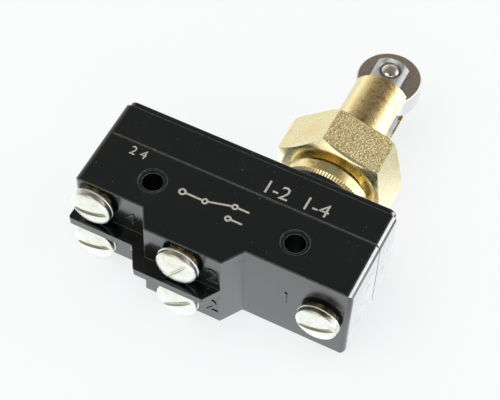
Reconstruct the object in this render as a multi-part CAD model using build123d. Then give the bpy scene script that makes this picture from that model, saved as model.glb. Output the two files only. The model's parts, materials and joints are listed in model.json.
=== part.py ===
from build123d import *
import math
import os

# Basic snap-action limit switch with a roller plunger, lying on its side.
# +X runs along the housing from the normally-open end to the common end,
# +Y is the direction in which the roller plunger points, +Z goes up through
# the thickness. The origin is midway between the two mounting holes, at mid
# thickness. Millimetres.

# ---- housing -------------------------------------------------------------
thickness = 17.45
left_end = -24.3
right_end = 24.9
shelf_y = -5.25  # face that carries the outer terminals
middle_y = -8.9  # face of the middle block
parting_y = 5.5  # joint between case and cover
cover_top = 13.1
rim_y = 12.0  # the cover's rim above this height is a little smaller all round
rim_inset = (0.45, 0.12)  # along X and along Z
slant_left = (-11.7, -9.5)  # x of the left slanted wall at shelf and middle face
slant_right = (6.5, 4.2)
end_radius = 1.3  # rounding between the large faces and the ends
corner_radius = 1.0  # rounding between the ends and the terminal shelves
top_radius = 0.45
edge_break = 0.15
hole_pitch = 25.4
hole_radius = 1.775
ledge_radius = 2.37  # shallow step round the mouth of each mounting hole
ledge_depth = 0.35
boss_radius = 3.3  # pillar round each mounting hole
bite = 0.5  # how far joined solids run into each other, or cutters past a face
touch = 0.01  # for finding corners and edges by their place

# ---- barrier between the front and back rows of terminals ----------------
barrier_thickness = 1.5
barrier_outer = -7.9
barrier_middle = -11.8
barrier_radius = 0.5
barrier_step = 0.6  # from the block's left corner to the foot of the barrier's rise

# ---- cavity --------------------------------------------------------------
wall = 1.85
end_wall = 4.0
floor_y = -1.5
middle_floor_y = -5.0
middle_pocket = (-8.4, 3.0)
roof_y = 10.6
cover_screw_inset = 2.0  # from each end
cover_screw_radius = 1.0
cover_screw_head = 1.75
cover_screw_end = -0.5
cover_screw_tip = (0.3, 0.7)  # radius and length taken off the tip
cover_screw_slot = (0.5, 0.6)  # width and depth
countersink = 1.0

# ---- terminals -----------------------------------------------------------
row_z = 4.8  # height of the front row above the middle plane
open_x = -20.3
closed_x = -2.85
common_x = 20.15
bush_radius = 2.9
bush_proud = 0.3
fit_gap = 0.05  # between a fixed round piece and its hole
sheet = 0.8
inset = 0.15  # from sheet-metal pieces to the cavity walls
bridge = (3.4, 4.2)  # heights of the anchor strip over the hole pillar
riser_x = (16.9, 17.7)
row_gap = 1.0  # from the middle plane to the metal of each row
open_plate_end = 4.0  # past the open terminal's bush
open_tab = (1.6, 1.5)  # past the contact along X and along Z
closed_plate_z = 1.9
closed_riser_half = 1.5
closed_tab_half = 1.8
closed_rail_drop = 1.0  # below the closed terminal's tab
common_plate_half = 3.2
post_lip = 0.4  # of the pivot post's top, beyond the pivot
clip_thickness = 0.6
clip_play = 0.1
thread_radius = 1.75
washer_radius = 3.7
washer_lift = 0.65  # from the shelf to the back of the washer
washer_thickness = 0.45
washer_break = 0.12
head_radius = 3.58
head_side = 0.6
head_dome = 1.05
slot_width = 0.95
slot_depth = 0.6
shank_short = 0.3  # how far the shank stops short of the bush's inner end
shank_point = (0.5, 0.6)  # radius and length taken off the shank's tip
tab_thickness = 0.7  # round contacts stand this far through their tabs
strip_half = 2.5  # half width of the common strip, post and clip

# ---- contacts and snap blade ---------------------------------------------
contact_x = -17.6
contact_z = 2.4
contact_radius = 1.3
open_face = 4.85  # top of the normally-open contact
moving_bottom = 5.8
moving_top = 7.35
closed_face = 7.4
closed_contact_height = 0.6
blade_y = 6.45
blade_thickness = 0.25
blade_half_width = 3.6
blade_left = -19.4
pivot_x = 19.4
blade_overhang = 0.3  # past the pivot
blade_slit = (-11.5, 0.7)  # x of its end and half width, between the two contacts
blade_waist = (14.5, 2.2)  # x of its start and half width, at the pivot
window = (-8.0, 6.6)  # opening from which the tongue is cut
window_half = 1.7
tongue_half = 1.2
tongue_root = 0.05
tongue_gap = 0.15  # from the tongue's tip to the anchor
tongue_tip = 5.75
tongue_sag = 1.25
anchor_x = 2.6
anchor_half = 1.5  # half width of the upright that passes the blade's window
anchor_above = 0.6
notch = (0.62, 0.25)  # room below and above the tongue's tip, for the blade's swing
blade_seat = 0.15  # from the blade to the post and the clip
rivet_radius = 0.7
contact_break = 0.12

# ---- plunger column ------------------------------------------------------
plunger_x = 10.55
collar_radius = 8.25  # moulded collar on the cover
collar_top = 14.0
knurl_radius = 7.9
knurl_depth = 0.22
knurl_teeth = 96
knurl_top = 15.15
flange_radius = 7.7
flange_top = 17.3
flange_break = 0.25
neck_radius = 6.6
neck_top = 24.3
neck_bore = 5.1
neck_break = 0.5
neck_relief = 0.4  # groove between the flange and the thread
bushing_bottom = 12.0
bushing_floor = 16.0

hex_bottom = 18.3
hex_top = 26.4
hex_flats = 18.45
hex_turn = 12.9  # direction of one flat's normal, from +X towards +Z
hex_face_radius = 8.95
chamfer_angle = 30
upper_chamfer = 0.4  # share of the lower one
barrel_radius = 5.3
barrel_bore = 4.75
barrel_top = 39.8
thread_clearance = 0.05
sleeve_shoulder = 24.6
barrel_slot = 5.4
barrel_slot_bottom = 31.6
barrel_break = 0.3
slot_corner = 0.8

fork_radius = 4.7
fork_flange_radius = 5.05
fork_flange = (23.0, 24.55)
fork_bore = 3.3
fork_bore_top = 34.0
fork_slot = 4.7
fork_slot_bottom = 36.0
fork_arm_half_width = 2.85
fork_top = 44.85
fork_crown = 7.4  # radius of the ears' ends, seen along the axle

roller_y = 42.6
roller_radius = 5.7
roller_width = 4.3
roller_rim = 0.4
roller_round = 0.3  # share of the rim at the middle of its rounding
axle_radius = 1.65
axle_shoulder = 3.7  # where the domed ends of the pin begin
axle_dome = 0.95
axle_seat = (2.45, 3.75, 4.75)  # outer radius, floor and mouth of the dished seats
running_gap = 0.05

rod_radius = 1.5
rod_head_radius = 3.22
rod_head = (25.0, 26.5)
rod_spigot = 1.2
rod_break = 0.3
ring_heights = (24.1, 24.8)
ring_split = 0.5
ring_play = 0.5  # round the push rod
button_top = 11.9
button_radius = 1.9
button_flange = (9.6, 10.5)
button_flange_radius = 2.8
button_tip = 7.05
nose_radius = (0.7, 1.2)
nose_slope = 0.5
return_coil = (4.35, 0.7, 3.5)  # mean radius, wire and turns
overtravel_coil = (2.55, 0.7, 4.5)

half = thickness / 2
middle_x = (left_end + right_end) / 2
length = right_end - left_end
holes_x = (-hole_pitch / 2, hole_pitch / 2)
cavity = (left_end + end_wall, right_end - end_wall)
cavity_half = half - wall
metal_half = cavity_half - inset
cover_screw_x = (left_end + cover_screw_inset, right_end - cover_screw_inset)


# ---- helpers -------------------------------------------------------------
def block(x, y, z):
    """Box from three (low, high) pairs."""
    size = [pair[1] - pair[0] for pair in (x, y, z)]
    centre = [(pair[1] + pair[0]) / 2 for pair in (x, y, z)]
    return Pos(*centre) * Box(*size)


def column(sketch, low, high):
    """Sketch in the XZ plane, pushed along Y from low to high."""
    return extrude(Plane.XZ.offset(-low) * sketch, amount=low - high)


def post(x, z, radius, low, high):
    """Round column along Y."""
    return column(Pos(x, z) * Circle(radius), low, high)


def across(sketch, low, high):
    """Sketch in the XY plane, pushed along Z from low to high."""
    return extrude(Plane.XY.offset(low) * sketch, amount=high - low)


def turned(outline):
    """Solid of revolution about the plunger axis from (radius, y) points."""
    face = make_face(Polyline(*outline, close=True))
    return Pos(plunger_x, 0, 0) * revolve(face, axis=Axis.Y)


def save(name, shape, colour):
    shape.label = name
    shape.color = Color(*colour)
    export_step(shape, f"parts/{name}.step")


# ---- housing -------------------------------------------------------------
def end_rounded(low, high):
    """Bar of the housing's rounded rectangular section between two heights."""
    outline = Pos(middle_x, 0) * RectangleRounded(length, thickness, end_radius)
    return column(outline, low, high)


def case():
    corners = [
        (left_end, parting_y),
        (right_end, parting_y),
        (right_end, shelf_y),
        (slant_right[0], shelf_y),
        (slant_right[1], middle_y),
        (slant_left[1], middle_y),
        (slant_left[0], shelf_y),
        (left_end, shelf_y),
    ]
    side = make_face(Polyline(*corners, close=True))
    at_end = [v for v in side.vertices() if min(v.X - left_end, right_end - v.X) < touch]
    outer_corners = [v for v in at_end if v.Y < 0]
    side = fillet(outer_corners, corner_radius)
    body = across(side, -half, half)
    large_faces = [body.faces().sort_by(Axis.Z)[i] for i in (0, -1)]
    rims = [e for f in large_faces for e in f.edges() if e.center().Y < parting_y - bite]
    body = chamfer(rims, edge_break)
    body &= end_rounded(middle_y - bite, parting_y)
    rim = body.faces().sort_by(Axis.Y)[-1].edges()
    body = chamfer(rim, edge_break)

    body -= block(cavity, (floor_y, parting_y), (-cavity_half, cavity_half))
    body -= block(middle_pocket, (middle_floor_y, floor_y), (-cavity_half, cavity_half))
    for x in holes_x:
        body += across(Pos(x, 0) * Circle(boss_radius), -cavity_half, cavity_half)
    body += barrier()
    for x in holes_x:
        body -= across(Pos(x, 0) * Circle(hole_radius), -half, half)
        for low, high in ((half - ledge_depth, half), (-half, ledge_depth - half)):
            body -= across(Pos(x, 0) * Circle(ledge_radius), low, high)
    for x, z, face in terminal_places():
        top = middle_floor_y if face == middle_y else floor_y
        body -= post(x, z, bush_radius + fit_gap, face, top)
    for x in cover_screw_x:
        body -= post(x, 0, cover_screw_radius, cover_screw_end, parting_y)
    return body


def barrier():
    """Thin wall on the middle plane, standing past the terminal faces."""
    run = slant_right[0] - slant_right[1]
    rise = shelf_y - middle_y
    right_foot = slant_right[1] - run * (middle_y - barrier_middle) / rise
    left_run = slant_left[1] - slant_left[0]
    left_foot = slant_left[1] - barrier_step
    left_top = left_foot - left_run * (barrier_outer - barrier_middle) / rise
    outline = [
        (left_end, shelf_y + bite),
        (left_end, barrier_outer),
        (left_top, barrier_outer),
        (left_foot, barrier_middle),
        (right_foot, barrier_middle),
        (slant_right[1], middle_y),
        (slant_right[1] - bite, middle_y + bite),
        (slant_left[1], middle_y + bite),
        (slant_left[0], shelf_y + bite),
    ]
    side = make_face(Polyline(*outline, close=True))
    steps = (barrier_outer, barrier_middle)
    free = [v for v in side.vertices() if min(abs(v.Y - y) for y in steps) < touch]
    side = fillet(free, barrier_radius)
    return across(side, -barrier_thickness / 2, barrier_thickness / 2)


def cover():
    body = end_rounded(parting_y, rim_y)
    for end in (0, -1):
        body = chamfer(body.faces().sort_by(Axis.Y)[end].edges(), edge_break)
    outline = Pos(middle_x, 0) * RectangleRounded(
        length - 2 * rim_inset[0], thickness - 2 * rim_inset[1], end_radius
    )
    rim = column(outline, rim_y - bite, cover_top)
    body += fillet(rim.faces().sort_by(Axis.Y)[-1].edges(), top_radius)
    body += post(plunger_x, 0, collar_radius, cover_top - bite, collar_top)
    body -= block(cavity, (parting_y, roof_y), (-cavity_half, cavity_half))
    body -= post(plunger_x, 0, knurl_radius + fit_gap, bushing_bottom, collar_top)
    body -= post(plunger_x, 0, button_radius + running_gap, roof_y, bushing_bottom)
    for x in cover_screw_x:
        body -= post(x, 0, cover_screw_radius + fit_gap, parting_y, cover_top)
        body -= turned_at(
            x,
            [
                (0, cover_top - countersink - fit_gap),
                (cover_screw_radius + fit_gap, cover_top - countersink - fit_gap),
                (cover_screw_head + fit_gap, cover_top),
                (0, cover_top),
            ],
        )
    return body


def turned_at(x, outline, z=0):
    """Solid of revolution about a line along Y at the given x and z."""
    face = make_face(Polyline(*outline, close=True))
    return Pos(x, 0, z) * revolve(face, axis=Axis.Y)


def cover_screw(x):
    tip = cover_screw_end + fit_gap
    shank = cover_screw_radius - fit_gap
    screw = turned_at(
        x,
        [
            (0, tip),
            (shank - cover_screw_tip[0], tip),
            (shank, tip + cover_screw_tip[1]),
            (shank, cover_top - countersink),
            (cover_screw_head, cover_top - fit_gap),
            (0, cover_top - fit_gap),
        ],
    )
    width, depth = cover_screw_slot
    across_head = (x - cover_screw_head, x + cover_screw_head)
    return screw - block(across_head, (cover_top - depth, cover_top), (-width / 2, width / 2))


# ---- terminals -----------------------------------------------------------
def terminal_places():
    """(x, z, face) of the five terminal screws."""
    return [
        (open_x, row_z, shelf_y),
        (open_x, -row_z, shelf_y),
        (closed_x, row_z, middle_y),
        (closed_x, -row_z, middle_y),
        (common_x, 0, shelf_y),
    ]


def threaded_bush(x, z, face, top):
    """Brass bush through the case floor."""
    return post(x, z, bush_radius, face - bush_proud, top)


def open_terminal(side):
    """Normally-open terminal: bush, floor plate, riser and contact tab."""
    tab_top = open_face - tab_thickness
    near = side * row_gap
    plate_x = (cavity[0] + inset, open_x + open_plate_end)
    rows = tuple(sorted((near, side * metal_half)))
    tab_z = tuple(sorted((near, side * (contact_z + open_tab[1]))))
    body = threaded_bush(open_x, side * row_z, shelf_y, floor_y)
    body += block(plate_x, (floor_y, floor_y + sheet), rows)
    body += block((plate_x[0], plate_x[0] + sheet), (floor_y, tab_top), tab_z)
    body += block((plate_x[0], contact_x + open_tab[0]), (tab_top - sheet, tab_top), tab_z)
    return body - screw_hole(open_x, side * row_z, shelf_y, floor_y)


def closed_terminal(side):
    """Normally-closed terminal: riser beside the blade, rail and upper tab."""
    tab_low = closed_face + closed_contact_height
    skin = tuple(sorted((side * (metal_half - sheet), side * metal_half)))
    plate_z = tuple(sorted((side * closed_plate_z, side * metal_half)))
    tab_z = tuple(sorted((side * row_gap, side * metal_half)))
    plate_x = (closed_x - bush_radius, closed_x + bush_radius)
    riser = (closed_x - closed_riser_half, closed_x + closed_riser_half)
    tab_x = (contact_x - closed_tab_half, contact_x + closed_tab_half)
    tab_top = tab_low + sheet
    floor = (middle_floor_y, middle_floor_y + sheet)
    body = threaded_bush(closed_x, side * row_z, middle_y, middle_floor_y)
    body += block(plate_x, floor, plate_z)
    body += block(riser, (middle_floor_y, tab_top), skin)
    body += block((tab_x[0], riser[1]), (tab_low - closed_rail_drop, tab_top), skin)
    body += block(tab_x, (tab_low, tab_top), tab_z)
    return body - screw_hole(closed_x, side * row_z, middle_y, middle_floor_y)


def common_terminal():
    """Common terminal: bush, floor plate, riser and the blade's pivot post."""
    plate_x = (riser_x[0], cavity[1] - inset)
    plate_z = (-common_plate_half, common_plate_half)
    strip_z = (-strip_half, strip_half)
    post_x = (cavity[1] - inset - sheet, cavity[1] - inset)
    seat = blade_y - blade_seat
    body = threaded_bush(common_x, 0, shelf_y, floor_y)
    body += block(plate_x, (floor_y, floor_y + sheet), plate_z)
    body += block(riser_x, (floor_y, bridge[0]), strip_z)
    body += block(post_x, (floor_y, seat), strip_z)
    body += block((pivot_x - post_lip, post_x[1]), (seat - sheet, seat), strip_z)
    return body - screw_hole(common_x, 0, shelf_y, floor_y)


def pivot_clip():
    """Cap over the pivot end of the blade, standing on the post beside it."""
    post_x = (cavity[1] - inset - sheet, cavity[1] - inset)
    low = blade_y - blade_seat
    high = blade_y + blade_thickness + blade_seat
    strip_z = (-strip_half, strip_half)
    clip = block((pivot_x - post_lip, post_x[1]), (high, high + clip_thickness), strip_z)
    clip += block((post_x[0] + clip_play, post_x[1]), (low, high), strip_z)
    return clip


def spring_anchor():
    """Strip from the common riser to the notch that holds the tongue's end."""
    body = block((anchor_x, riser_x[1]), bridge, (-strip_half, strip_half))
    upright = (-anchor_half, anchor_half)
    top = tongue_tip + anchor_above
    body += block((anchor_x, anchor_x + sheet), (bridge[0], top), upright)
    room = (tongue_tip - notch[0], tongue_tip + notch[1])
    return body - block((anchor_x, anchor_x + sheet / 2), room, upright)


def screw_hole(x, z, face, top):
    return post(x, z, thread_radius + fit_gap, face - bush_proud, top)


def terminal_washer(x, z, face):
    """Thin dished washer under a terminal screw's head."""
    back = face - washer_lift
    front = back - washer_thickness
    return turned_at(
        x,
        [
            (thread_radius + fit_gap, front),
            (washer_radius - washer_break, front),
            (washer_radius, front + washer_break),
            (washer_radius, back - washer_break),
            (washer_radius - washer_break, back),
            (thread_radius + fit_gap, back),
        ],
        z,
    )


def terminal_screw(x, z, face, shank_top, slot_angle):
    """Slotted binding-head screw with a low dome."""
    seat = face - washer_lift - washer_thickness
    rim = seat - head_side
    crown = rim - head_dome
    shank = thread_radius
    outline = Polyline((0, crown), (0, seat), (head_radius, seat), (head_radius, rim))
    outline += EllipticalCenterArc((0, rim), head_radius, head_dome, -90, arc_size=90)
    head = Pos(x, 0, z) * revolve(make_face(outline), axis=Axis.Y)
    slot = Box(2 * (head_radius + bite), 2 * slot_depth, slot_width)
    head -= Pos(x, crown, z) * Rot(0, -slot_angle, 0) * slot
    stem = turned_at(
        x,
        [
            (0, seat),
            (shank, seat),
            (shank, shank_top - shank_point[1]),
            (shank - shank_point[0], shank_top),
            (0, shank_top),
        ],
        z,
    )
    return head + stem


# ---- contacts and blade --------------------------------------------------
def contact(side, low, high):
    """Round silver contact with a softly broken working edge."""
    disc = post(contact_x, side * contact_z, contact_radius, low, high)
    return chamfer(disc.edges().filter_by(GeomType.CIRCLE), contact_break)


def snap_blade():
    """Leaf that carries the moving contacts, with a bowed tongue cut from it."""
    leaf = (blade_y, blade_y + blade_thickness)
    rails = (-blade_half_width, blade_half_width)
    right = pivot_x + blade_overhang
    slit_end, slit_half = blade_slit
    waist_start, waist_half = blade_waist
    body = block((blade_left, right), leaf, rails)
    body -= block(window, leaf, (-window_half, window_half))
    body -= block((blade_left, slit_end), leaf, (-slit_half, slit_half))
    for side in (-1, 1):
        waist = tuple(sorted((side * waist_half, side * blade_half_width)))
        body -= block((waist_start, right), leaf, waist)
    middle = blade_y + blade_thickness / 2
    bow = ThreePointArc(
        (window[0] - tongue_root, middle),
        ((window[0] + anchor_x) / 2, blade_y - tongue_sag),
        (anchor_x - tongue_gap, tongue_tip),
    )
    band = trace(bow, line_width=blade_thickness)
    body += across(band, -tongue_half, tongue_half)
    for side in (-1, 1):
        body -= post(contact_x, side * contact_z, rivet_radius, *leaf)
    return body


def moving_contact(side):
    """Double-faced contact riveted through the blade."""
    leaf = (blade_y, blade_y + blade_thickness)
    body = contact(side, leaf[1], moving_top)
    body += post(contact_x, side * contact_z, rivet_radius, *leaf)
    body += contact(side, moving_bottom, leaf[0])
    return body


# ---- plunger column ------------------------------------------------------
def knurled_bushing():
    """Threaded bushing set in the cover, with a knurled and a plain band."""
    points = []
    for tooth in range(knurl_teeth):
        for radius, share in ((knurl_radius, 0.0), (knurl_radius - knurl_depth, 0.5)):
            angle = 2 * math.pi * (tooth + share) / knurl_teeth
            points.append((radius * math.cos(angle), radius * math.sin(angle)))
    teeth = Pos(plunger_x, 0) * make_face(Polyline(*points, close=True))
    body = column(teeth, bushing_bottom, knurl_top)
    body += turned(
        [
            (0, knurl_top),
            (flange_radius, knurl_top),
            (flange_radius, flange_top - flange_break),
            (flange_radius - flange_break, flange_top),
            (neck_radius - neck_relief, flange_top),
            (neck_radius - neck_relief, hex_bottom + neck_relief),
            (neck_radius, hex_bottom + 2 * neck_relief),
            (neck_radius, neck_top - neck_break),
            (neck_radius - neck_break, neck_top),
            (0, neck_top),
        ]
    )
    body -= post(plunger_x, 0, neck_bore, bushing_floor, neck_top)
    body -= post(plunger_x, 0, rod_radius + running_gap, bushing_bottom, bushing_floor)
    return body


def hex_sleeve():
    """Hexagon and plain slotted barrel in one piece, screwed on the bushing."""
    outline = RegularPolygon(
        hex_flats / 2, 6, major_radius=False, rotation=hex_turn - 30
    )
    corner = hex_flats / math.sqrt(3)
    drop = math.tan(math.radians(chamfer_angle))
    low_cut = drop * (corner - hex_face_radius)
    high_cut = low_cut * upper_chamfer
    body = column(Pos(plunger_x, 0) * outline, hex_bottom, hex_top)
    body &= turned(
        [
            (0, hex_bottom),
            (hex_face_radius, hex_bottom),
            (corner, hex_bottom + low_cut),
            (corner, hex_top - high_cut),
            (corner - high_cut / drop, hex_top),
            (0, hex_top),
        ]
    )
    body += turned(
        [
            (0, hex_top - bite),
            (barrel_radius, hex_top - bite),
            (barrel_radius, barrel_top - barrel_break),
            (barrel_radius - barrel_break, barrel_top),
            (0, barrel_top),
        ]
    )
    body -= post(
        plunger_x, 0, neck_radius + thread_clearance, hex_bottom, sleeve_shoulder
    )
    body -= post(plunger_x, 0, barrel_bore, sleeve_shoulder, barrel_top)
    cut = block(
        (plunger_x - barrel_radius - bite, plunger_x + barrel_radius + bite),
        (barrel_slot_bottom, barrel_top + bite),
        (-barrel_slot / 2, barrel_slot / 2),
    )
    low_edges = cut.edges().filter_by(Axis.X).group_by(Axis.Y)[0]
    return body - fillet(low_edges, slot_corner)


def fork_plunger():
    """Hollow round plunger with two ears that hold the roller's axle."""
    body = turned(
        [
            (0, fork_flange[0]),
            (fork_flange_radius, fork_flange[0]),
            (fork_flange_radius, fork_flange[1]),
            (fork_radius, fork_flange[1]),
            (fork_radius, fork_top),
            (0, fork_top),
        ]
    )
    opening = (fork_slot_bottom, fork_top)
    over = (-fork_radius, fork_radius)
    wide = (plunger_x - fork_radius, plunger_x + fork_radius)
    body -= block(wide, opening, (-fork_slot / 2, fork_slot / 2))
    for side in (-1, 1):
        cheek = (plunger_x + side * fork_arm_half_width, plunger_x + side * fork_radius)
        body -= block(tuple(sorted(cheek)), opening, over)
    crown_y = fork_top - fork_crown
    crown = Pos(plunger_x, crown_y) * Circle(fork_crown)
    below = crown_y - fork_flange[0]
    crown += Pos(plunger_x, crown_y - below / 2) * Rectangle(2 * fork_crown, below)
    body &= across(crown, -fork_flange_radius, fork_flange_radius)
    body -= post(plunger_x, 0, fork_bore, fork_flange[0], fork_bore_top)
    axis = Pos(plunger_x, roller_y)
    body -= across(axis * Circle(axle_radius), *over)
    seat_radius, seat_floor, seat_mouth = axle_seat
    depth = seat_mouth - seat_floor
    for turn in (0, 180):
        dish = Pos(0, 0, seat_floor + depth / 2) * Cone(axle_radius, seat_radius, depth)
        body -= axis * Rot(turn, 0, 0) * dish
    return body


def retaining_ring():
    """Split ring inside the plunger that keeps the push rod's head captive."""
    body = turned(
        [
            (rod_radius + ring_play, ring_heights[0]),
            (fork_bore, ring_heights[0]),
            (fork_bore, ring_heights[1]),
            (rod_radius + ring_play, ring_heights[1]),
        ]
    )
    split = (plunger_x, plunger_x + fork_bore)
    return body - block(split, ring_heights, (-ring_split, ring_split))


def push_rod():
    """Headed rod that passes the plunger's push on to the switch button."""
    return turned(
        [
            (0, button_top),
            (rod_radius - rod_break, button_top),
            (rod_radius, button_top + rod_break),
            (rod_radius, rod_head[0]),
            (rod_head_radius, rod_head[0]),
            (rod_head_radius, rod_head[1]),
            (rod_radius, rod_head[1]),
            (rod_radius, rod_head[1] + rod_spigot),
            (0, rod_head[1] + rod_spigot),
        ]
    )


def switch_button():
    """Moulded button guided in the cover, with the nose that bends the blade."""
    return turned(
        [
            (0, button_tip),
            (nose_radius[0], button_tip),
            (nose_radius[1], button_tip + nose_slope),
            (nose_radius[1], button_flange[0]),
            (button_flange_radius, button_flange[0]),
            (button_flange_radius, button_flange[1]),
            (button_radius, button_flange[1]),
            (button_radius, button_top),
            (0, button_top),
        ]
    )


def roller():
    """Roller with softly rounded rims and a running bore."""
    radius = roller_radius
    side = roller_width / 2
    bore = axle_radius + running_gap
    rim = roller_rim
    rounded = rim * roller_round
    profile = [
        (bore, -side),
        (radius - rim, -side),
        (radius - rounded, -side + rounded),
        (radius, -side + rim),
        (radius, side - rim),
        (radius - rounded, side - rounded),
        (radius - rim, side),
        (bore, side),
    ]
    ring = revolve(make_face(Plane.XZ * Polyline(*profile, close=True)), axis=Axis.Z)
    return Pos(plunger_x, roller_y, 0) * ring


def axle_pin():
    """Pin with domed, riveted ends."""
    pin = across(Circle(axle_radius), -axle_shoulder, axle_shoulder)
    arc = EllipticalCenterArc((0, 0), axle_radius, axle_dome, 0, arc_size=90)
    quarter = make_face(Polyline((0, axle_dome), (0, 0), (axle_radius, 0)) + arc)
    dome = Rot(90, 0, 0) * revolve(quarter, axis=Axis.Y)
    pin += Pos(0, 0, axle_shoulder) * dome
    pin += Pos(0, 0, -axle_shoulder) * Rot(180, 0, 0) * dome
    return Pos(plunger_x, roller_y, 0) * pin


def coil(sizes, low, high):
    """Round-wire compression spring on the plunger axis, between two heights."""
    mean_radius, wire, turns = sizes
    lift = high - low - wire
    path = Pos(plunger_x, low + wire / 2, 0) * Rot(-90, 0, 0) * Helix(
        lift / turns, lift, mean_radius
    )
    section = Plane(path @ 0, z_dir=path % 0) * Circle(wire / 2)
    return sweep(section, path=path, is_frenet=True)


# ---- write every piece ---------------------------------------------------
os.makedirs("parts", exist_ok=True)

black = (0.03, 0.03, 0.035)
gold = (0.80, 0.68, 0.38)
brass = (0.78, 0.62, 0.28)
nickel = (0.86, 0.85, 0.78)
steel = (0.72, 0.73, 0.75)
silver = (0.9, 0.9, 0.9)
copper = (0.80, 0.52, 0.30)
maroon = (0.35, 0.12, 0.08)

save("case", case(), black)
save("cover", cover(), black)
save("cover_screws", Compound([cover_screw(x) for x in cover_screw_x]), steel)

row_names = ((1, "front"), (-1, "back"))
closed_heights = (closed_face, closed_face + closed_contact_height)
for side, row in row_names:
    save(f"open_terminal_{row}", open_terminal(side), brass)
    save(f"closed_terminal_{row}", closed_terminal(side), brass)
    save(f"open_contact_{row}", contact(side, open_face - tab_thickness, open_face), silver)
    save(f"closed_contact_{row}", contact(side, *closed_heights), silver)
    save(f"moving_contact_{row}", moving_contact(side), silver)
save("common_terminal", common_terminal(), brass)
save("pivot_clip", pivot_clip(), brass)
save("spring_anchor", spring_anchor(), brass)
save("snap_blade", snap_blade(), copper)

place_names = ("open_front", "open_back", "closed_front", "closed_back", "common")
slot_angles = (11, 14, 54, 35, 17)
for name, place, angle in zip(place_names, terminal_places(), slot_angles):
    x, z, face = place
    bush_end = middle_floor_y if face == middle_y else floor_y
    save(f"washer_{name}", terminal_washer(x, z, face), nickel)
    screw = terminal_screw(x, z, face, bush_end - shank_short, angle)
    save(f"screw_{name}", screw, nickel)

save("knurled_bushing", knurled_bushing(), gold)
save("hex_sleeve", hex_sleeve(), gold)
save("fork_plunger", fork_plunger(), steel)
save("retaining_ring", retaining_ring(), steel)
save("axle_pin", axle_pin(), steel)
save("roller", roller(), steel)
save("push_rod", push_rod(), steel)
save("switch_button", switch_button(), maroon)
save("return_spring", coil(return_coil, bushing_floor, fork_flange[0]), steel)
save("overtravel_spring", coil(overtravel_coil, rod_head[1], fork_bore_top), steel)
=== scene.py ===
import bmesh
import bpy
import json
import math
from mathutils import Matrix, Vector

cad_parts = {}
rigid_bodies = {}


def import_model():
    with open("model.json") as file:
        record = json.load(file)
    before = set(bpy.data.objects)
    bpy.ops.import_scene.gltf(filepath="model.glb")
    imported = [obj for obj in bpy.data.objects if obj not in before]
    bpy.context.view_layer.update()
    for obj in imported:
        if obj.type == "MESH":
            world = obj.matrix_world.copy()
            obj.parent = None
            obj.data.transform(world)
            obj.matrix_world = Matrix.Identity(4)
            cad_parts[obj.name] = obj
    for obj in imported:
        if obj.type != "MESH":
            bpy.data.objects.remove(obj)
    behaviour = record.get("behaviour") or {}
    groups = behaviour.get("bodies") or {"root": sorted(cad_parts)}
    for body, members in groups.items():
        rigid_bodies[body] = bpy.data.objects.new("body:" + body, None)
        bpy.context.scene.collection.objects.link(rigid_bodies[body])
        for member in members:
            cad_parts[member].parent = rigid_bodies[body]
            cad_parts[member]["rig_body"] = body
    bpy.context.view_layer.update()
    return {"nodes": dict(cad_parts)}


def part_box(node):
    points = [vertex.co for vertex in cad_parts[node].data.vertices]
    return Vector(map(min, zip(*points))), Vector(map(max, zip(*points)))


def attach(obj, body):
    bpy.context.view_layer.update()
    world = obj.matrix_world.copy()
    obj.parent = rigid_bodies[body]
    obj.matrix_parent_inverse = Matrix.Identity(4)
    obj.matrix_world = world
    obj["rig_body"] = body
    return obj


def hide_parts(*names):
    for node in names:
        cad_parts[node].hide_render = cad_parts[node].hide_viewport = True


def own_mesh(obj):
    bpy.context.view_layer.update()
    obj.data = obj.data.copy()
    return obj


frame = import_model()

MM = 0.001

# ---- places ----------------------------------------------------------------
case_low, case_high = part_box("case")
face_z = case_high.z
sleeve_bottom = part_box("hex_sleeve")[0].z
roller_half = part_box("roller")[1].z
hex_bottom = 18.3 * MM  # the hexagon's ends, along the plunger
hex_top = 26.4 * MM
corner_y = 19.3 * MM  # where its corners begin, past the chamfer
shelf_y = -5.25 * MM  # face that carries the outer terminals
block_y = -8.9 * MM  # face of the middle block


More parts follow.
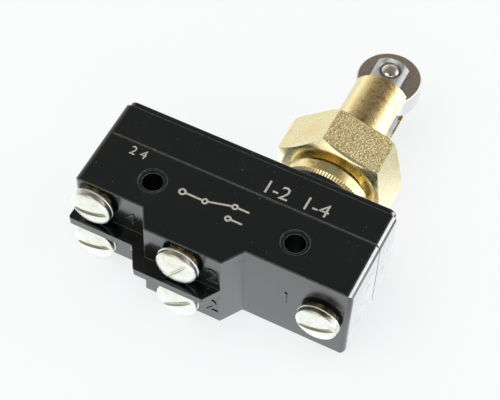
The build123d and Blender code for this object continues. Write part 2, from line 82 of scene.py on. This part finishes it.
# ---- material building -----------------------------------------------------
class Nodes:
    """Short calls that add nodes to a tree and join them."""

    def __init__(self, tree, coordinates):
        self.tree = tree
        self.place = self.add("TexCoord").outputs[coordinates]

    def add(self, kind, **settings):
        node = self.tree.nodes.new("ShaderNode" + kind)
        for key, value in settings.items():
            setattr(node, key, value)
        return node

    def join(self, source, target):
        self.tree.links.new(source, target)

    def put(self, value, target):
        """Link a socket, or set a number or a colour."""
        if isinstance(value, bpy.types.NodeSocket):
            self.join(value, target)
        elif isinstance(value, tuple):
            target.default_value = (*value, 1)
        else:
            target.default_value = value

    def along(self, axis):
        """The coordinate along one axis."""
        node = self.add("SeparateXYZ")
        self.join(self.place, node.inputs[0])
        return node.outputs[axis]

    def ramp(self, value, *stops):
        """Colours by value; each stop is a position and a colour."""
        node = self.add("ValToRGB")
        self.join(value, node.inputs["Fac"])
        band = node.color_ramp
        while len(band.elements) < len(stops):
            band.elements.new(0.5)
        for element, (position, colour) in zip(band.elements, stops):
            element.position = position
            element.color = (*colour, 1)
        return node.outputs["Color"]

    def levels(self, value, low, high, out_low=0.0, out_high=1.0, curve="LINEAR"):
        """Stretch low..high to out_low..out_high, and hold it there outside."""
        node = self.add("MapRange", interpolation_type=curve)
        self.join(value, node.inputs["Value"])
        node.inputs["From Min"].default_value = low
        node.inputs["From Max"].default_value = high
        node.inputs["To Min"].default_value = out_low
        node.inputs["To Max"].default_value = out_high
        return node.outputs["Result"]

    def blend(self, share, first, second, mode="MIX"):
        node = self.add("Mix", data_type="RGBA", blend_type=mode)
        self.put(share, node.inputs[0])
        self.put(first, node.inputs[6])
        self.put(second, node.inputs[7])
        return node.outputs[2]

    def math(self, operation, first, second=0.0):
        node = self.add("Math", operation=operation)
        self.put(first, node.inputs[0])
        self.put(second, node.inputs[1])
        return node.outputs[0]

    def times(self, first, second):
        return self.math("MULTIPLY", first, second)


class Finish(Nodes):
    """A node material around one Principled shader, in object coordinates."""

    def __init__(self, name, **constants):
        self.material = bpy.data.materials.new(name)
        self.material.use_nodes = True
        super().__init__(self.material.node_tree, "Object")
        self.shader = self.tree.nodes["Principled BSDF"]
        self.set(**constants)

    def set(self, **sockets):
        for key, value in sockets.items():
            self.put(value, self.shader.inputs[key.replace("_", " ")])
        return self.material

    def noise(self, size_mm, detail=3.0, rough=0.55, twist=0.0):
        node = self.add("TexNoise")
        self.join(self.place, node.inputs["Vector"])
        node.inputs["Scale"].default_value = 1 / (size_mm * MM)
        node.inputs["Detail"].default_value = detail
        node.inputs["Roughness"].default_value = rough
        node.inputs["Distortion"].default_value = twist
        return node.outputs["Fac"]

    def gloss(self, size_mm, detail, smoothest, roughest):
        """Roughness that wanders between two values."""
        return self.levels(self.noise(size_mm, detail), 0.3, 0.7, smoothest, roughest)

    def relief(self, height, depth_mm, strength=1.0, under=None):
        """Bump of this depth, laid over another bump if one is given."""
        node = self.add("Bump")
        node.inputs["Distance"].default_value = depth_mm * MM
        node.inputs["Strength"].default_value = strength
        self.join(height, node.inputs["Height"])
        if under is not None:
            self.join(under, node.inputs["Normal"])
        return node.outputs["Normal"]

    def edges(self, radius_mm):
        """1 on edges and 0 on flats, from how far rounding turns the normal."""
        rounded = self.add("Bevel", samples=6)
        rounded.inputs["Radius"].default_value = radius_mm * MM
        turn = self.add("VectorMath", operation="DOT_PRODUCT")
        self.join(rounded.outputs["Normal"], turn.inputs[0])
        self.join(self.add("NewGeometry").outputs["Normal"], turn.inputs[1])
        return self.levels(turn.outputs["Value"], 0.995, 0.90)

    def openness(self, reach_mm):
        """1 in the open, less in slots and corners."""
        node = self.add("AmbientOcclusion", samples=6)
        node.inputs["Distance"].default_value = reach_mm * MM
        return node.outputs["AO"]

    def facing(self, axis):
        """How far the surface faces along one of the object's axes."""
        node = self.add("SeparateXYZ")
        self.join(self.add("TexCoord").outputs["Normal"], node.inputs[0])
        return node.outputs[axis]


# ---- materials -------------------------------------------------------------
def phenolic():
    """Black moulded phenolic: glossy skin, faint flow mottling, dust, and pale edges that are partly
    rubbed wear and partly a painted highlight.
    """
    look = Finish("phenolic_black", IOR=1.52)
    skin = look.ramp(
        look.noise(6.0, 4.0),
        (0.3, (0.0015, 0.0028, 0.0034)),
        (0.7, (0.0028, 0.0044, 0.0050)),
    )
    specks = look.levels(look.noise(0.42, 2.0), 0.735, 0.765)
    dusty = look.blend(specks, skin, (0.09, 0.095, 0.095))
    # Pale, rougher edges and hole rings: partly rubbed wear, partly a painted highlight along the
    # edges.
    rubbed_and_painted_highlight = look.times(look.edges(0.22), look.levels(look.noise(0.8, 4.0), 0.28, 0.52))
    colour = look.blend(rubbed_and_painted_highlight, dusty, (0.075, 0.083, 0.086))
    moulded = look.levels(look.noise(1.6, 5.0), 0.3, 0.75, 0.12, 0.24)
    gloss = look.math("MAXIMUM", moulded, look.times(rubbed_and_painted_highlight, 0.5))
    waves = look.relief(look.noise(0.7, 3.0), 0.0012, 0.5)
    pits = look.relief(look.levels(look.noise(0.3, 1.0), 0.27, 0.33), 0.008, 0.6, waves)
    return look.set(Base_Color=colour, Roughness=gloss, Normal=pits)


def gold_films(look):
    """The passivation's pale film and its rich, stained one."""
    pale = look.ramp(
        look.noise(4.0, 3.0, 0.55, 0.8),
        (0.32, (0.80, 0.66, 0.36)),
        (0.50, (0.84, 0.75, 0.47)),
        (0.68, (0.78, 0.74, 0.44)),
    )
    rich = look.ramp(
        look.noise(1.3, 6.0, 0.72, 0.6),
        (0.36, (0.42, 0.24, 0.09)),
        (0.46, (0.62, 0.43, 0.21)),
        (0.54, (0.74, 0.62, 0.37)),
        (0.64, (0.50, 0.43, 0.18)),
    )
    return pale, rich


def gold_turned():
    """Yellow-passivated turned part, pale with rich patches."""
    look = Finish("gold_zinc_turned", Metallic=1.0)
    patches = look.levels(look.noise(2.6, 4.0), 0.44, 0.60)
    colour = look.blend(patches, *gold_films(look))
    marks = look.relief(look.noise(0.16, 3.0), 0.004, 0.7)
    return look.set(Base_Color=colour, Roughness=look.gloss(0.9, 3.0, 0.22, 0.32), Normal=marks)


def gold_blank():
    """Yellow-passivated sleeve: coarse grain on the hexagon's flats, with painted dark specks on the
    flat that faces up, and a grained barrel with the rich film painted across its middle as a dark
    reflection.
    """
    look = Finish("gold_zinc_blank", Metallic=1.0)
    height, sideways = look.along("Y"), look.facing("X")
    on_barrel = look.levels(height, hex_top - 0.2 * MM, hex_top + 0.2 * MM)
    above_chamfer = look.levels(height, hex_bottom + 0.5 * MM, hex_bottom + 0.9 * MM)
    below_chamfer = look.levels(height, hex_top - 0.15 * MM, hex_top - 0.45 * MM)
    coarser_up = look.levels(look.facing("Z"), 0.75, 0.92, 0.25, 1.0)
    on_flats = look.times(look.times(above_chamfer, below_chamfer), coarser_up)
    off_the_sides = look.times(look.levels(sideways, -0.50, -0.18), look.levels(sideways, 0.66, 0.42))
    # The barrel's middle, picked by which way it faces: there the rich film is laid as a painted dark
    # reflection, with a little extra grain.
    painted_dark_barrel_middle = look.times(on_barrel, off_the_sides)
    grain = look.noise(0.30, 2.0, 0.6)
    grained = look.math("ADD", on_flats, look.times(painted_dark_barrel_middle, 0.22))
    marks = look.relief(look.noise(0.16, 3.0), 0.004, 0.7)
    coarse = look.relief(look.times(grain, grained), 0.27, 1.0, marks)
    # Dark specks painted into the grain's hollows, full on the flat that faces up: painted shade.
    painted_dark_specks = look.times(look.levels(grain, 0.54, 0.40), on_flats)
    colour = look.blend(painted_dark_specks, look.blend(painted_dark_barrel_middle, *gold_films(look)), (0.50, 0.38, 0.18))
    return look.set(Base_Color=colour, Roughness=look.gloss(0.9, 3.0, 0.22, 0.32), Normal=coarse)


def nickel():
    """Nickel screw plating with yellow tints, fine handling marks, and slots painted pale as painted
    light.
    """
    look = Finish("nickel_warm", Metallic=1.0)
    film = look.ramp(
        look.noise(1.5, 3.0, 0.6, 0.4),
        (0.28, (0.42, 0.37, 0.28)),
        (0.40, (0.45, 0.45, 0.39)),
        (0.56, (0.46, 0.48, 0.46)),
    )
    # Painted light: where occlusion hems the surface in, as in the screw slots, the colour turns pale
    # cream.
    painted_slot_light = look.levels(look.openness(0.5), 0.72, 0.42)
    colour = look.blend(painted_slot_light, film, (0.95, 0.86, 0.66))
    marks = look.relief(look.noise(0.25, 3.0), 0.005, 0.7)
    return look.set(Base_Color=colour, Roughness=look.gloss(0.6, 4.0, 0.30, 0.42), Normal=marks)


def metal(name, tone, smoothest, roughest, grain_mm=0.2):
    """Turned, ground or rolled metal with a fine grain."""
    look = Finish(name, Metallic=1.0)
    dull = tuple(channel * 0.86 for channel in tone)
    colour = look.ramp(look.noise(1.4, 4.0), (0.3, dull), (0.7, tone))
    gloss = look.gloss(grain_mm * 2, 3.0, smoothest, roughest)
    grain = look.relief(look.noise(grain_mm, 2.0), 0.004, 0.6)
    return look.set(Base_Color=colour, Roughness=gloss, Normal=grain)


def ground_roller():
    """Hardened roller: grey-brown ends left dull, tread and rim polished."""
    look = Finish("steel_ground", Metallic=1.0)
    depth = look.math("ABSOLUTE", look.along("Z"))
    on_end = look.levels(depth, 0.93 * roller_half, 0.985 * roller_half)
    brown = look.ramp(look.noise(0.7, 4.0), (0.3, (0.42, 0.36, 0.32)), (0.7, (0.54, 0.48, 0.44)))
    colour = look.blend(on_end, (0.80, 0.80, 0.79), brown)
    gloss = look.math("ADD", look.gloss(0.4, 3.0, 0.16, 0.24), look.times(on_end, 0.22))
    grain = look.relief(look.noise(0.2, 2.0), 0.004, 0.6)
    return look.set(Base_Color=colour, Roughness=gloss, Normal=grain)


def button_plastic():
    """Maroon moulded button with a faint grain."""
    look = Finish("button_maroon", IOR=1.5)
    colour = look.ramp(look.noise(2.0, 3.0), (0.3, (0.176, 0.040, 0.024)), (0.7, (0.22, 0.05, 0.03)))
    grain = look.relief(look.noise(0.4), 0.006)
    return look.set(Base_Color=colour, Roughness=look.gloss(0.7, 3.0, 0.28, 0.42), Normal=grain)


def printing_ink():
    """Off-white stamped ink, thin in places."""
    look = Finish("ink_white", IOR=1.45, Roughness=0.55)
    covered = look.levels(look.noise(0.22, 4.0), 0.30, 0.55)
    colour = look.blend(covered, (0.16, 0.155, 0.15), (0.42, 0.405, 0.385))
    return look.set(Base_Color=colour, Normal=look.relief(look.noise(0.12), 0.004))


black = phenolic()
gold_stock = gold_blank()
gold_ring = gold_turned()
bright_nickel = nickel()
bright_steel = metal("steel_bright", (0.52, 0.56, 0.60), 0.34, 0.46)
roller_steel = ground_roller()
pin_steel = metal("steel_pin", (0.80, 0.78, 0.72), 0.06, 0.12)
brass = metal("brass_sheet", (0.80, 0.62, 0.30), 0.22, 0.34, 0.3)
silver = metal("silver_contact", (0.92, 0.91, 0.88), 0.18, 0.30, 0.3)
copper = metal("copper_leaf", (0.82, 0.55, 0.36), 0.22, 0.34, 0.3)
maroon = button_plastic()
ink = printing_ink()

# ---- inner pieces, which keep their CAD shape ------------------------------
rows = ("front", "back")


def give(material, *names):
    for name in names:
        mesh = frame["nodes"][name].data
        mesh.materials.clear()
        mesh.materials.append(material)


give(bright_steel, "push_rod", "retaining_ring")
give(brass, "common_terminal", "pivot_clip", "spring_anchor")
give(brass, *(f"{kind}_terminal_{row}" for kind in ("open", "closed") for row in rows))
give(silver, *(f"{kind}_contact_{row}" for kind in ("open", "closed", "moving") for row in rows))
give(copper, "snap_blade")
give(maroon, "switch_button")

# ---- pieces with worked edges ----------------------------------------------
weld_mm = 0.0005
flat_angle = math.radians(0.4)  # neighbouring faces that turn less than this are merged
plain_sides = 8  # a face with more sides may ring a hole, so it is cut into convex ones


def welded(source, name):
    """A copy of a CAD mesh with its triangles merged into whole faces."""
    mesh = source.data.copy()
    mesh.name = name
    work = bmesh.new()
    work.from_mesh(mesh)
    bmesh.ops.remove_doubles(work, verts=work.verts, dist=weld_mm * MM)
    bmesh.ops.dissolve_limit(work, angle_limit=flat_angle, verts=work.verts, edges=work.edges)
    ringed = [face for face in work.faces if len(face.verts) > plain_sides]
    bmesh.ops.connect_verts_concave(work, faces=ringed)
    for face in work.faces:
        face.smooth = True
    work.to_mesh(mesh)
    work.free()
    if mesh.has_custom_normals:
        mesh.attributes.remove(mesh.attributes["custom_normal"])
    return mesh


def fine(node, material, edge_mm, angle=30, steps=3):
    """A finished piece for a CAD node: edges sharper than the angle are rounded."""
    source = frame["nodes"][node]
    mesh = welded(source, f"{node}_fine")
    mesh.materials.clear()
    mesh.materials.append(material)
    piece = bpy.data.objects.new(mesh.name, mesh)
    bpy.context.scene.collection.objects.link(piece)
    rounding = piece.modifiers.new("rounding", "BEVEL")
    rounding.width = edge_mm * MM
    rounding.segments = steps
    rounding.limit_method = "ANGLE"
    rounding.angle_limit = math.radians(angle)
    rounding.miter_outer = "MITER_ARC"
    shading = piece.modifiers.new("shading", "WEIGHTED_NORMAL")
    shading.mode = "FACE_AREA"
    shading.weight = 80
    scene_graph = bpy.context.evaluated_depsgraph_get()
    done = bpy.data.meshes.new_from_object(piece.evaluated_get(scene_graph))
    piece.modifiers.clear()
    piece.data = done
    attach(piece, source["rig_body"])
    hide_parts(node)
    return piece


fine_case = fine("case", black, 0.14)
fine_cover = fine("cover", black, 0.14)
fine("cover_screws", bright_steel, 0.06)
for place in ("open_front", "open_back", "closed_front", "closed_back", "common"):
    fine(f"screw_{place}", bright_nickel, 0.07)
    fine(f"washer_{place}", bright_nickel, 0.05)
fine("knurled_bushing", gold_ring, 0.05)
fine("hex_sleeve", gold_stock, 0.14, angle=20)
fine("fork_plunger", bright_steel, 0.10)
fine("roller", roller_steel, 0.10)
fine("axle_pin", pin_steel, 0.05)


def springy(node):
    """A finished coil spring with a mesh of its own."""
    coil = fine(node, bright_steel, 0.02, angle=60, steps=1)
    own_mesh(coil)


springy("return_spring")
springy("overtravel_spring")

# ---- marks -----------------------------------------------------------------
ink_rise = 0.018  # mm above the face
moulded_rise = 0.16
line_width = 0.36
numeral_share = 0.7  # height of a numeral in its font's size
upright = math.radians(90)


def settle(source, name, material, body):
    """Turn a curve or text object into a mesh piece that rides on a body."""
    bpy.context.view_layer.update()
    scene_graph = bpy.context.evaluated_depsgraph_get()
    mesh = bpy.data.meshes.new_from_object(source.evaluated_get(scene_graph))
    mesh.transform(source.matrix_world)
    mesh.name = name
    mesh.materials.clear()
    mesh.materials.append(material)
    bpy.data.objects.remove(source)
    piece = bpy.data.objects.new(name, mesh)
    bpy.context.scene.collection.objects.link(piece)
    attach(piece, body)


def numeral(name, text, height_mm, place, tilt, rise_mm, material):
    """Plain numerals standing a little proud of a face; place is their middle."""
    curve = bpy.data.curves.new(name, "FONT")
    curve.body = text
    curve.size = height_mm * MM / numeral_share
    curve.align_x = "CENTER"
    curve.align_y = "CENTER"
    curve.extrude = rise_mm * MM
    curve.resolution_u = 6
    writing = bpy.data.objects.new(name, curve)
    bpy.context.scene.collection.objects.link(writing)
    writing.matrix_world = Matrix.Translation(place) @ Matrix.Rotation(tilt, 4, "X")
    settle(writing, name, material, "housing")


def circle_points(x, y, radius, count=28):
    turns = [2 * math.pi * k / count for k in range(count)]
    return [(x + radius * math.cos(turn), y + radius * math.sin(turn)) for turn in turns]


def line_art(name, lines, rings, place):
    """Printed lines: flattened strokes on the large face, in mm about their middle."""
    curve = bpy.data.curves.new(name, "CURVE")
    curve.dimensions = "3D"
    curve.bevel_depth = line_width * MM / 2
    curve.bevel_resolution = 3
    curve.use_fill_caps = True
    for points, closed in [(line, False) for line in lines] + [(ring, True) for ring in rings]:
        spline = curve.splines.new("POLY")
        spline.points.add(len(points) - 1)
        for point, (x, y) in zip(spline.points, points):
            point.co = (x * MM, y * MM, 0, 1)
        spline.use_cyclic_u = closed
    drawing = bpy.data.objects.new(name, curve)
    bpy.context.scene.collection.objects.link(drawing)
    flattening = ink_rise / (line_width / 2)
    drawing.matrix_world = Matrix.Translation(place) @ Matrix.Diagonal((1, 1, flattening, 1))
    settle(drawing, name, ink, "housing")


# Changeover contact symbol: common terminal, arm, closed contact above and open contact below.
line_art(
    "print_symbol",
    [
        [(-5.2, 0), (-2.2, 0)],
        [(-1.25, 0.15), (2.5, 1.15)],
        [(3.5, 1.25), (5.6, 1.25)],
        [(3.5, -1.25), (5.6, -1.25)],
    ],
    [
        circle_points(-5.75, 0, 0.5),
        circle_points(-1.7, 0, 0.42),
        circle_points(3.05, 1.25, 0.42),
        circle_points(3.05, -1.25, 0.42),
    ],
    Vector((-1.75 * MM, 0.35 * MM, face_z)),
)
for name, text, x, y, height in (
    ("print_contacts", "1-2  1-4", 9.2, 7.45, 2.6),
    ("print_row", "2 4", -17.4, 3.8, 1.7),
):
    numeral(name, text, height, Vector((x * MM, y * MM, face_z)), 0, ink_rise, ink)
for name, text, x, y, z, height in (
    ("mark_open_front", "4", -13.9, shelf_y, 4.0, 2.6),
    ("mark_open_back", "4", -13.9, shelf_y, -4.0, 2.6),
    ("mark_closed_front", "2", 2.75, block_y, 3.9, 3.2),
    ("mark_closed_back", "2", 2.75, block_y, -5.0, 3.2),
    ("mark_common", "1", 13.9, shelf_y, 0.4, 3.2),
):
    numeral(name, text, height, Vector((x * MM, y, z * MM)), upright, moulded_rise, black)

# ---- floor -----------------------------------------------------------------
paper_share = 0.17  # of the paper's brightness that shadows can dim
paper_tones = ((0, (0.96, 0.975, 1.0)), (1, (1.0, 1.01, 1.03)))
paper_glow = 0.785
paper_patches = 60  # soft patches of tone across the floor
paper_mirrored = (2.15, 0.98)  # brightness in reflections, in front of the object and behind it
paper_reach = (33 * MM, 48 * MM)  # from the heel of the floor, where the front light falls off
paper_width = 100 * MM  # of the band of floor that paper_aside describes
# Share of that brightness by distance to the right: dimmer beside the end face, bright beyond it.
paper_aside = ((29 * MM, 1.0), (33 * MM, 0.66), (52 * MM, 0.66), (62 * MM, 2.6))
floor_half = 3.0


def white_floor():
    """Lit paper under the object: faint soft shadows to the eye, brighter in reflections."""
    material = bpy.data.materials.new("white_paper")
    material.use_nodes = True
    material.node_tree.nodes.clear()
    nodes = Nodes(material.node_tree, "Object")
    grain = nodes.add("TexNoise")
    grain.inputs["Scale"].default_value = paper_patches
    paper, lit, seen = nodes.add("BsdfDiffuse"), nodes.add("Emission"), nodes.add("AddShader")
    shaded = [(stop, tuple(paper_share * tone for tone in tones)) for stop, tones in paper_tones]
    nodes.join(nodes.ramp(grain.outputs["Fac"], *shaded), paper.inputs["Color"])
    nodes.put((0.97, 0.985, 1.0), lit.inputs["Color"])
    nodes.put(paper_glow, lit.inputs["Strength"])
    nodes.join(paper.outputs[0], seen.inputs[0])
    nodes.join(lit.outputs[0], seen.inputs[1])
    depth = nodes.levels(nodes.along("Y"), *paper_reach, *paper_mirrored)
    stops = [(distance / paper_width, (share, share, share)) for distance, share in paper_aside]
    aside = nodes.ramp(nodes.levels(nodes.along("X"), 0, paper_width), *stops)
    mirrored, either = nodes.add("Emission"), nodes.add("MixShader")
    nodes.put((0.955, 0.985, 1.0), mirrored.inputs["Color"])
    nodes.join(nodes.times(depth, aside), mirrored.inputs["Strength"])
    nodes.join(nodes.add("LightPath").outputs["Is Glossy Ray"], either.inputs["Fac"])
    nodes.join(seen.outputs[0], either.inputs[1])
    nodes.join(mirrored.outputs[0], either.inputs[2])
    nodes.join(either.outputs[0], nodes.add("OutputMaterial").inputs["Surface"])
    return material


# It leans on the middle block's back edge and on the hexagon's lower corner.
heel = Vector((0, block_y, case_low.z))
toe = Vector((0, corner_y, sleeve_bottom))
slope = math.atan2(heel.z - toe.z, toe.y - heel.y)
corners = [(x * floor_half, y * floor_half, 0) for x, y in ((-1, -1), (1, -1), (1, 1), (-1, 1))]
mesh = bpy.data.meshes.new("floor")
mesh.from_pydata(corners, [], [(0, 1, 2, 3)])
mesh.materials.append(white_floor())
floor = bpy.data.objects.new("floor", mesh)
bpy.context.scene.collection.objects.link(floor)
floor.matrix_world = Matrix.Translation(heel) @ Matrix.Rotation(-slope, 4, "X")

# ---- light -----------------------------------------------------------------
# Surround by height, from the horizon to overhead.
heights = (
    (0.0, (1.25, 1.21, 1.12)),
    (0.12, (0.95, 0.90, 0.80)),
    (0.34, (0.52, 0.46, 0.36)),
    (0.62, (0.29, 0.27, 0.23)),
    (0.84, (0.26, 0.25, 0.22)),
    (1.0, (0.18, 0.18, 0.18)),
)
# Each lobe: direction, full inside and gone outside these degrees, colour, how it is laid on.
lobes = (
    ((-0.80, 0.48, 0.30), 12, 38, (0.34, 0.32, 0.27), "ADD"),
    ((0.74, 0.52, 0.42), 12, 36, (0.6, 0.58, 0.52), "ADD"),
    ((0.30, -0.90, 0.22), 18, 52, (1.25, 1.22, 1.12), "ADD"),
    ((-0.32, -0.56, 0.76), 6, 26, (1.5, 1.38, 1.1), "ADD"),
    ((0.24, -0.52, 0.82), 9, 17, (0.02, 0.02, 0.02), "MIX"),
)


def sky():
    """Studio surround: bright at the horizon, dim overhead, with soft lobes and one dark one."""
    world = bpy.data.worlds.new("studio")
    bpy.context.scene.world = world
    world.use_nodes = True
    nodes = Nodes(world.node_tree, "Generated")
    total = nodes.ramp(nodes.along("Z"), *heights)
    for toward, full, gone, colour, mode in lobes:
        nearness = nodes.add("VectorMath", operation="DOT_PRODUCT")
        nodes.join(nodes.place, nearness.inputs[0])
        nearness.inputs[1].default_value = Vector(toward).normalized()
        limits = [math.cos(math.radians(angle)) for angle in (gone, full)]
        share = nodes.levels(nearness.outputs["Value"], *limits, curve="SMOOTHSTEP")
        total = nodes.blend(share, total, colour, mode)
    nodes.join(total, world.node_tree.nodes["Background"].inputs["Color"])


def softbox(name, direction, distance, width, height, power, seen=True):
    """Area light facing the object from a direction."""
    light = bpy.data.lights.new(name, "AREA")
    light.shape = "RECTANGLE"
    light.size = width
    light.size_y = height
    light.energy = power
    lamp = bpy.data.objects.new(name, light)
    bpy.context.scene.collection.objects.link(lamp)
    place = Vector(direction).normalized() * distance
    lamp.location = place
    lamp.rotation_mode = "QUATERNION"
    lamp.rotation_quaternion = place.to_track_quat("Z", "Y")
    lamp.visible_glossy = seen
    return lamp


sky()
softbox("softbox_right", (0.80, 0.52, 0.32), distance=0.6, width=0.36, height=0.30, power=0.5)
softbox("overhead", (-0.2, -0.1, 1.0), distance=0.8, width=0.8, height=0.8, power=4.6, seen=False)
strip = softbox("strip", (0.83, 0.52, 0.20), distance=0.6, width=0.22, height=0.50, power=5.5)
# The strip lights only the case and cover, and shows along their rounded edges.
housing_only = bpy.data.collections.new("lit_by_strip")
for piece in (fine_case, fine_cover):
    housing_only.objects.link(piece)
strip.light_linking.receiver_collection = housing_only

# ---- camera ----------------------------------------------------------------
azimuth = math.radians(24.78)
elevation = math.radians(54.95)
roll = math.radians(2.47)
distance = 266.6 * MM
aim = Vector((0.22, 9.47, 0)) * MM
away = Vector(
    (
        math.sin(azimuth) * math.cos(elevation),
        -math.cos(azimuth) * math.cos(elevation),
        math.sin(elevation),
    )
)
camera = bpy.data.objects.new("camera", bpy.data.cameras.new("camera"))
bpy.context.scene.collection.objects.link(camera)
camera.location = aim + away * distance
camera.rotation_mode = "QUATERNION"
level = away.to_track_quat("Z", "Y")
camera.rotation_quaternion = level @ Matrix.Rotation(roll, 3, "Z").to_quaternion()
camera.data.lens = 115.86
camera.data.sensor_width = 36
bpy.context.scene.camera = camera
bpy.context.scene.view_settings.view_transform = "Standard"
